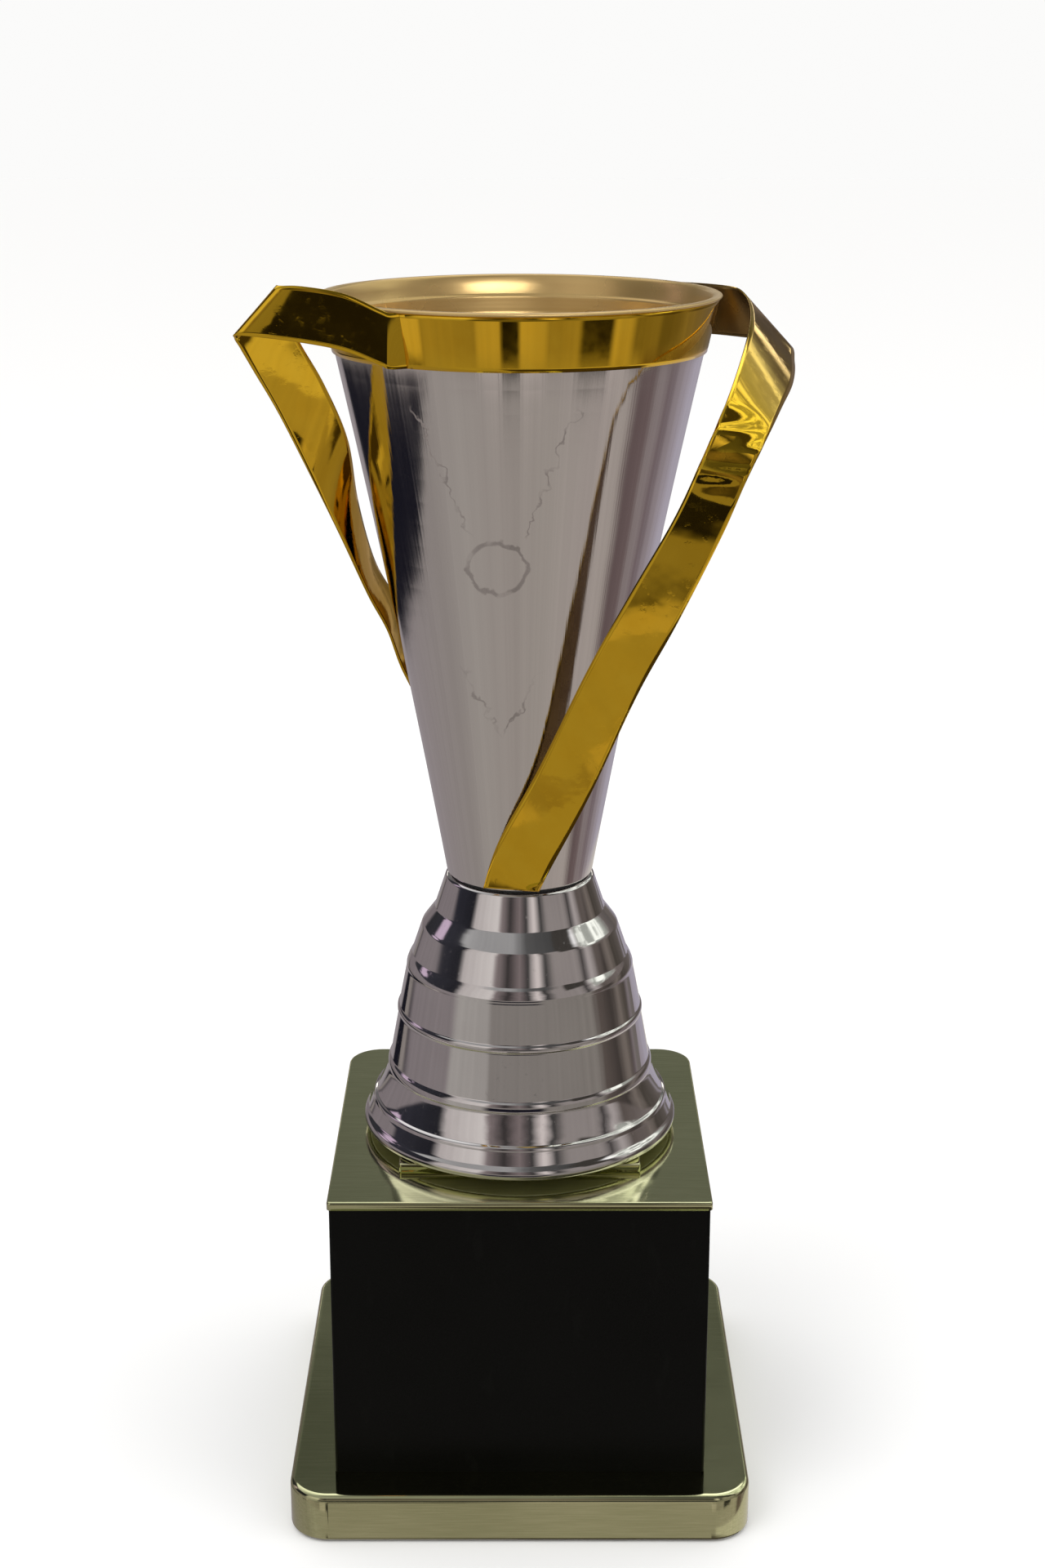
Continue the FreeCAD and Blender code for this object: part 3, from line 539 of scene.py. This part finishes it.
# ---------------------------------------------------------------- strips
# Two equal strips of thin mirror-gold sheet. Half of each is glued round the rim; at a crease it
# leaves the rim sideways, folds over, and its leg winds down to the cup's foot. They were bent by
# hand, so the two folds differ, and the right one is crumpled below its fold.
STRIP_WIDE, STRIP_THICK, STRIP_SIT = 12.0, 0.4, 0.4  # the last: how far its middle is off the cup
CREASE, RIM_STEP, RIM_LINES = math.radians(55.8), math.radians(2.0), 90
ACROSS, LEG_STEPS = 12, 14  # faces across the strip, and from one line of the lists to the next
CRUMPLE_PLACE, CRUMPLE_REACH, CRUMPLE_DEPTH = Vector((45.5, -38.5, 260.5)), 12.0, 1.5
FRONT_LEG = [  # leaves at the back, folds at the right, and its leg comes down in front of the cup
    ((40.0, 38.6, 288.6), (40.3, 38.4, 276.6)),
    ((50.4, 37.6, 287.8), (53.3, 36.0, 275.8)),
    ((53.4, 30.5, 286.9), (63.9, 26.5, 275.2)),
    ((53.9, 17.0, 285.1), (64.2, 13.0, 272.5)),
    ((52.4, 0.5, 282.1), (62.1, -3.5, 269.7)),
    ((49.0, -17.5, 276.9), (57.9, -21.0, 266.8)),
    ((44.8, -32.5, 270.0), (53.5, -35.5, 262.4)),
    ((39.2, -40.5, 259.0), (48.4, -42.6, 253.8)),
    ((33.4, -40.6, 245.9), (43.5, -42.4, 241.9)),
    ((24.2, -37.2, 228.3), (34.7, -38.6, 222.2)),
    ((15.2, -33.0, 210.2), (26.4, -33.6, 204.6)),
    ((4.3, -25.6, 184.8), (16.0, -28.0, 179.0)),
    ((-4.9, -21.5, 166.0), (7.3, -22.6, 159.8)),
    ((-8.6, -18.2, 153.4), (4.6, -19.0, 152.8)),
]
BACK_LEG = [  # leaves at the front, folds at the left, and its leg goes down behind the cup
    ((-27.6, -37.7, 289.3), (-27.6, -37.3, 277.4)),
    ((-29.8, -37.9, 290.2), (-29.8, -37.6, 278.3)),
    ((-37.0, -38.4, 293.4), (-37.4, -38.2, 281.4)),
    ((-45.5, -38.6, 294.9), (-48.0, -38.4, 283.4)),
    ((-50.3, -38.2, 295.0), (-59.4, -38.0, 284.6)),
    ((-51.2, -36.6, 294.6), (-60.6, -36.0, 283.6)),
    ((-50.4, -34.6, 291.6), (-59.8, -33.9, 281.4)),
    ((-47.6, -30.6, 283.0), (-57.2, -31.0, 275.8)),
    ((-42.9, -24.0, 272.6), (-52.6, -26.8, 266.2)),
    ((-38.6, -15.4, 259.0), (-46.6, -20.4, 251.6)),
    ((-37.4, -3.4, 242.8), (-40.8, -13.0, 236.6)),
    ((-34.4, 5.4, 227.2), (-35.2, -4.6, 220.8)),
    ((-29.8, 11.8, 216.6), (-31.2, 1.2, 211.0)),
    ((-24.9, 17.5, 205.4), (-28.0, 8.0, 199.2)),
    ((-15.2, 23.4, 191.4), (-21.9, 15.2, 185.0)),
    ((-4.2, 24.4, 175.4), (-13.4, 19.4, 169.4)),
    ((4.8, 21.2, 162.6), (-6.4, 19.6, 157.2)),
    ((8.6, 18.2, 153.4), (-4.6, 19.0, 152.8)),
]


def rim_line(angle):
    """The line across the strip where it lies on the rim, at an angle about the axis."""
    ends = []
    for height in (CUP_RIM - 0.05, CUP_RIM - STRIP_WIDE):
        reach = cup_radius(height) + STRIP_SIT
        ends.append(Vector((reach * math.cos(angle), reach * math.sin(angle), height)))
    return ends


def between(lines, i, share):
    """A line across the strip, part of the way from line i to the next, on a smooth curve."""
    before, here, beyond, last = (lines[max(0, min(len(lines) - 1, k))] for k in (i - 1, i, i + 1, i + 2))
    result = []
    for a, b, c, d in zip(before, here, beyond, last):
        result.append(0.5 * (2 * b + (c - a) * share + (2 * a - 5 * b + 4 * c - d) * share ** 2
                             + (3 * b - a - 3 * c + d) * share ** 3))
    return result


def crumple(bm):
    """Folds the foil near one place. The folds run across the leg, a little slanted."""
    down, over = Vector((-0.30, 0.12, -0.94)), Vector((0.88, -0.16, -0.45))
    for vert in bm.verts:
        away = vert.co / MM - CRUMPLE_PLACE
        share = 1 - away.length / CRUMPLE_REACH
        if share > 0:
            run, wide = away.dot(down), away.dot(over)
            fold = noise.noise(Vector((run * 0.30 + wide * 0.09, wide * 0.07, 3.7)))
            vert.co += vert.normal * (fold * CRUMPLE_DEPTH * min(1.0, 2 * share) * MM)


def strip(name, crease, leg, crumpled=False):
    """Draws a line across the strip along its whole way: round the rim, then down the leg."""
    lines = [rim_line(crease + RIM_STEP * i) for i in range(RIM_LINES - 1, -1, -1)]
    bends = [lines[-1]] + [[Vector(a), Vector(b)] for a, b in leg]
    for i in range(len(bends) - 1):
        lines += [between(bends, i, k / LEG_STEPS) for k in range(1, LEG_STEPS + 1)]
    bm = bmesh.new()
    top, low = lines[0]
    row = [bm.verts.new(top.lerp(low, k / ACROSS) * MM) for k in range(ACROSS + 1)]
    edges = [bm.edges.new(pair) for pair in zip(row, row[1:])]
    for number, (top, low) in enumerate(lines[1:], start=1):
        made = bmesh.ops.extrude_edge_only(bm, edges=edges)["geom"]
        fresh = [item for item in made if isinstance(item, bmesh.types.BMVert)]
        old = {vert: k for k, vert in enumerate(row)}
        ordered = [None] * (ACROSS + 1)
        for vert in fresh:
            k = next(old[edge.other_vert(vert)] for edge in vert.link_edges if edge.other_vert(vert) in old)
            ordered[k] = vert
            vert.co = top.lerp(low, k / ACROSS) * MM
        row = ordered
        edges = [item for item in made if isinstance(item, bmesh.types.BMEdge)
                 and all(vert in set(row) for vert in item.verts)]
        for edge in edges:
            edge.smooth = number != RIM_LINES - 1  # sharp only at the crease, where it leaves the rim
    bm.normal_update()
    if crumpled:
        crumple(bm)
    piece = finish_mesh(bm, name)
    thick = piece.modifiers.new("sheet", "SOLIDIFY")
    thick.thickness = STRIP_THICK * MM
    thick.offset = 0.0
    return piece


def mirror_gold():
    foil = Finish("mirror_gold")
    x, y, z = foil.axes(foil.place())
    buckle = foil.noise(55.0, 3.0)
    cloud = foil.noise(160.0, 4.0)
    creases = foil.rise(foil.noise(380.0, 4.0, rough=0.6), 0.56, 0.66)
    # Where the strip is glued to the rim it lies smooth.
    from_axis = (x * x + y * y).math("SQRT")
    loose = foil.rise(from_axis, 0.0462, 0.0500).math("MAXIMUM", foil.rise(z, 0.2730, 0.2768, 1.0, 0.0))
    return foil.surface(
        Base_Color=foil.blend(cloud, colour(0.86, 0.51, 0.025), colour(0.96, 0.62, 0.045)),
        Metallic=1.0, Roughness=foil.rise(cloud, 0.3, 0.7, 0.03, 0.08) + creases * loose * 0.05,
        Normal=foil.bump((buckle * 0.9 + creases * 0.02) * loose, 0.0006, 0.3))


def painted_shade_back():
    """The back of the right strip: dull dark bronze, painted shade that the cup mirrors as a dark line."""
    back = Finish("painted_shade_back")
    cloud = back.noise(120.0, 4.0)
    return back.surface(Base_Color=back.blend(cloud, colour(0.16, 0.095, 0.03), colour(0.26, 0.165, 0.055)),
                        Metallic=0.9, Roughness=back.rise(cloud, 0.3, 0.7, 0.22, 0.34),
                        Normal=back.bump(cloud, 0.0001))


foil_finish, painted_shade_back_finish = mirror_gold(), painted_shade_back()
right_strip = strip("right_handle_strip", CREASE, FRONT_LEG, crumpled=True)
# The right strip's back gets the dark bronze finish: painted shade, which the cup mirrors as a dark line.
right_strip.modifiers["sheet"].material_offset = 1
right_strip.data.materials.append(foil_finish)
right_strip.data.materials.append(painted_shade_back_finish)
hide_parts("front_leg_strip")
left_strip = strip("left_handle_strip", CREASE - math.pi, BACK_LEG)
coat(left_strip, foil_finish)
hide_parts("back_leg_strip")

# ---------------------------------------------------------------- floor
# A plain pale sheet. The shiny pieces see through it to the room, so that they aren't washed out.


def pale_floor():
    pale = Finish("pale_floor")
    matt = pale.node("BsdfDiffuse", inputs={"Color": colour(0.945, 0.945, 0.945)})
    clear = pale.node("BsdfTransparent")
    mirrored = pale.node("LightPath", output="Is Glossy Ray")
    return pale.end(pale.node("MixShader", inputs=[mirrored, matt, clear]))


FLOOR_REACH = 6.0
ground = bmesh.new()
bmesh.ops.create_grid(ground, x_segments=1, y_segments=1, size=FLOOR_REACH)
floor = make_object(ground, "floor")
coat(floor, pale_floor())

# ---------------------------------------------------------------- room
# A pale studio. Shiny pieces mirror a room of warm grey walls with dark openings and a bright ceiling.
# It is drawn by direction: turn is the bearing in degrees from the front, positive to the right, z is
# how steeply up the direction points, and lift is z without the part that the cup's slope gives it.


def studio_room():
    room = Finish("studio", "worlds")
    x, y, z = room.axes(room.node("TexCoord", output="Generated"))
    turn = x.math("ARCTAN2", y * -1.0) * (180 / math.pi)
    half = (turn * (math.pi / 360)).math("COSINE")
    cup_part = 0.382
    lift = z + half * cup_part

    def ramp(value, stops, low=-180.0, high=180.0):
        share = room.node("MapRange", inputs=[value, low, high, 0.0, 1.0])
        shades = [shade if isinstance(shade, tuple) else (shade,) * 3 for place, shade in stops]
        places = [(place - low) / (high - low) for place, shade in stops]
        return room.node("ValToRGB", {"stops": list(zip(places, shades))}, [share], output="Color")

    def times(first, second):
        return room.node("Mix", {"data_type": "RGBA", "blend_type": "MULTIPLY"},
                         {0: 1.0, 6: first, 7: second}, output=2)

    def cloudy(across, up, detail):
        place = room.node("CombineXYZ", inputs=[across, up, 0.0])
        return room.node("TexNoise", inputs={"Vector": place, "Scale": 1.0, "Detail": detail}, output="Fac")

    wavy = cloudy(lift * 60.0, z * 12.0, 4.0) - 0.5
    fine = room.node("TexNoise", {"noise_dimensions": "1D"}, {"W": turn, "Scale": 0.22, "Detail": 3.0},
                     output="Fac")
    mottle = cloudy(turn * 0.09, z * 9.0, 3.0)
    # what the cup and the rim band see, looking down
    low_walls = ramp(turn + wavy * 6.0, [
        (-180, (0.34, 0.31, 0.33)), (-150, (0.30, 0.27, 0.28)), (-70, (0.30, 0.275, 0.26)),
        (-45, (0.36, 0.335, 0.31)), (-8, (0.34, 0.31, 0.285)), (20, (0.36, 0.33, 0.30)),
        (58, (0.39, 0.35, 0.325)), (78, (0.40, 0.36, 0.33)), (86, (0.13, 0.095, 0.095)),
        (98, (0.15, 0.11, 0.11)), (106, (0.28, 0.24, 0.24)), (116, (0.17, 0.13, 0.14)),
        (128, (0.30, 0.26, 0.28)), (150, (0.42, 0.39, 0.46)), (180, (0.36, 0.33, 0.38))])
    # a dark opening whose right border slants and frays
    border = (lift + 0.150) * 520.0 - 66.0 + (lift + 0.198).math("MINIMUM", 0.0) * 1500.0 + wavy * 14.0
    dark = (room.rise(turn, -154.0, -148.0) * room.rise(turn - border, -1.0, 1.0, 1.0, 0.0)
            * room.rise(lift, -0.236, -0.218))
    low_room = room.blend(dark, low_walls, colour(0.010, 0.010, 0.016))
    # bright and dark bars that only the rim band mirrors
    bars = ramp(turn + wavy * 2.0, [
        (-180, 0.7), (-98, 0.8), (-92, 1.7), (-64, 1.5), (-62, 0.8), (-60, 0.95), (-30, 0.8), (-28, 0.75),
        (-26, 1.25), (-12, 1.3), (-11, 0.03), (-1, 0.04), (1, 1.4), (16, 1.2), (18, 0.8), (37, 0.9),
        (40, 0.03), (58, 0.05), (61, 1.3), (72, 1.1), (76, 0.5), (92, 0.62), (96, 0.35), (112, 0.45),
        (116, 0.6), (140, 0.45), (180, 0.4)])
    past = (1.0 - half).math("POWER", 1.5) * 0.048
    rim_share = room.rise(lift - past, -0.1505, -0.1485) * room.rise(lift, -0.09, -0.05, 1.0, 0.0)
    low_room = room.blend(rim_share, low_room, times(colour(0.36, 0.32, 0.30), bars))
    # what the bell's steep tiers see, level; the dark patch is what the left strip's upper run sees
    level_room = ramp(turn + (mottle - 0.5) * 14.0, [
        (-180, (0.20, 0.17, 0.18)), (-120, (0.24, 0.21, 0.22)), (-68, (0.25, 0.22, 0.225)),
        (-62, (0.39, 0.37, 0.35)), (-30, (0.37, 0.35, 0.33)), (-25, (0.25, 0.23, 0.215)),
        (74, (0.24, 0.22, 0.20)), (80, (0.11, 0.09, 0.08)), (100, (0.06, 0.05, 0.045)),
        (110, (0.20, 0.17, 0.15)), (122, (0.07, 0.06, 0.05)), (150, (0.15, 0.13, 0.12)),
        (180, (0.17, 0.14, 0.13))])
    patch = (room.rise(turn, -34.0, -24.0) * room.rise(turn, 16.0, 26.0, 1.0, 0.0)
             * room.rise(z, -0.33, -0.29) * room.rise(z, -0.105, -0.095, 1.0, 0.0)
             * room.rise(lift, 0.06, 0.11))
    level_room = room.blend(patch, level_room, colour(0.013, 0.012, 0.020))
    # what the sloping tiers see, above the horizon
    high_room = ramp(turn + (mottle - 0.5) * 8.0, [
        (-180, (0.05, 0.045, 0.055)), (-146, (0.16, 0.14, 0.15)), (-140, (0.03, 0.03, 0.035)),
        (-102, (0.03, 0.03, 0.04)), (-68, (0.015, 0.015, 0.02)), (-62, (0.52, 0.48, 0.47)),
        (-30, (0.70, 0.66, 0.64)), (-25, (0.24, 0.20, 0.20)), (-12, (0.04, 0.035, 0.035)),
        (0, (0.22, 0.18, 0.18)), (9, (0.03, 0.03, 0.03)), (19, (0.75, 0.68, 0.66)), (27, (0.03, 0.03, 0.03)),
        (38, (0.30, 0.27, 0.26)), (66, (0.30, 0.27, 0.26)), (72, (0.05, 0.045, 0.045)),
        (80, (0.45, 0.41, 0.40)), (92, (0.12, 0.10, 0.09)), (120, (0.20, 0.17, 0.16)),
        (150, (0.10, 0.09, 0.085)), (180, (0.05, 0.045, 0.055))])
    lilac = (room.rise(turn, -124.0, -118.0) * room.rise(turn, -110.0, -104.0, 1.0, 0.0)
             * room.rise(z, 0.09, 0.13))
    high_room = room.blend(lilac * room.rise(mottle, 0.40, 0.52), high_room, colour(0.62, 0.48, 0.62))
    # the wall behind, which the flat tops see, and the ceiling
    behind = room.rise(turn.math("ABSOLUTE"), 140.0, 160.0) * room.rise(z, 0.20, 0.30)
    ceiling = ramp(turn + (mottle - 0.5) * 10.0, [
        (-180, 1.5), (-100, 0.5), (-60, 0.35), (-10, 0.35), (10, 0.10), (62, 0.05), (74, 1.0), (130, 2.2),
        (180, 1.5)])
    ceiling = room.blend(room.rise(z, 0.93, 0.99), ceiling, colour(0.25, 0.25, 0.25))
    seen = room.blend(room.rise(lift, -0.09, -0.01), low_room, level_room)
    seen = room.blend(room.rise(z, 0.04, 0.08), seen, high_room)
    back_wall = room.blend(room.rise(z, 0.44, 0.52), colour(0.155, 0.16, 0.155), colour(0.095, 0.10, 0.095))
    seen = room.blend(behind, seen, back_wall)
    seen = room.blend(room.rise(z, 0.585, 0.64), seen, ceiling)
    # a dim and a bright patch high on the right, and a low bright strip behind
    dim_high = room.rise(turn, 46.0, 52.0) * room.rise(turn, 72.0, 80.0, 1.0, 0.0) * room.rise(z, 0.42, 0.48)
    seen = room.blend(dim_high, seen, colour(0.05, 0.045, 0.04))
    bright_high = (room.rise(turn, 78.0, 86.0) * room.rise(turn, 146.0, 154.0, 1.0, 0.0)
                   * room.rise(z, 0.20, 0.30))
    mottled = room.blend(room.rise(mottle, 0.42, 0.60), colour(0.42, 0.44, 0.40), colour(1.25, 1.30, 1.2))
    seen = room.blend(bright_high, seen, mottled)
    glow = (room.rise(turn.math("ABSOLUTE"), 150.0, 156.0) * room.rise(z, 0.15, 0.17)
            * room.rise(z, 0.20, 0.22, 1.0, 0.0))
    seen = room.blend(glow, seen, colour(1.9, 1.85, 1.7))
    # the ground: pale to the right, dark further down
    below = room.rise(lift, -0.31, -0.295, 1.0, 0.0) * room.rise(turn, 15.0, 25.0)
    seen = room.blend(below, seen, colour(0.58, 0.54, 0.50))
    under = room.rise(z, -0.76, -0.72, 1.0, 0.0) * room.rise(turn, -18.0, -12.0)
    seen = room.blend(under, seen, colour(0.05, 0.04, 0.03))
    seen = times(seen, room.blend(fine, colour(0.88, 0.88, 0.88), colour(1.12, 1.12, 1.12)))
    light = room.node("Background", inputs={"Color": colour(1.0, 0.995, 0.985), "Strength": 1.02})
    shown = room.node("Background", inputs={"Color": colour(1.0, 0.997, 0.99), "Strength": 0.965})
    mirrored = room.node("Background", inputs={"Color": seen, "Strength": 1.0})
    plain = room.node("MixShader", inputs=[room.node("LightPath", output="Is Camera Ray"), light, shown])
    glossy = room.node("LightPath", output="Is Glossy Ray")
    return room.end(room.node("MixShader", inputs=[glossy, plain, mirrored]), "OutputWorld")


bpy.context.scene.world = studio_room()
bpy.context.scene.view_settings.view_transform = "Standard"

# ---------------------------------------------------------------- soft lights
# Two large lamps that aren't mirrored: they light the matt surfaces and give a soft shadow. A third,
# long and narrow, lights only the gold lining and shows in it as a bright streak.
LAMP_AIM = Vector((0, 0, 0.15))


def lamp(name, place, size, power, shows=False):
    light = bpy.data.lights.new(name, "AREA")
    light.energy = power
    light.size = size
    holder = bpy.data.objects.new(name, light)
    bpy.context.scene.collection.objects.link(holder)
    aim = LAMP_AIM - Vector(place)
    holder.matrix_world = Matrix.Translation(place) @ aim.to_track_quat("-Z", "Y").to_matrix().to_4x4()
    holder.visible_glossy = shows
    return holder


lamp("key_lamp", (-0.9, -0.9, 1.5), 1.0, 9.0)
lamp("fill_lamp", (1.3, -0.4, 1.1), 1.2, 4.0)
inside_lamp = lamp("inside_lamp", (0.30, -1.15, 0.80), 0.80, 6.0, shows=True)
inside_lamp.data.shape, inside_lamp.data.size_y = "RECTANGLE", 0.10
lit = bpy.data.collections.new("lit_by_inside_lamp")
lit.objects.link(lining)
inside_lamp.light_linking.receiver_collection = lit

# ---------------------------------------------------------------- camera
# It stands in front of the trophy, a little over half a metre away and a little above the cup's
# mouth, tilted down by CAMERA_DIP radians.
CAMERA_PLACE, CAMERA_DIP = (0.000677, -0.55396, 0.34397), 0.2987
camera_data = bpy.data.cameras.new("camera")
camera_data.lens = 55.28
camera_data.sensor_width = 36.0
camera = bpy.data.objects.new("camera", camera_data)
bpy.context.scene.collection.objects.link(camera)
camera.location = CAMERA_PLACE
camera.rotation_euler = (math.pi / 2 - CAMERA_DIP, 0.0, 0.0)
bpy.context.scene.camera = camera
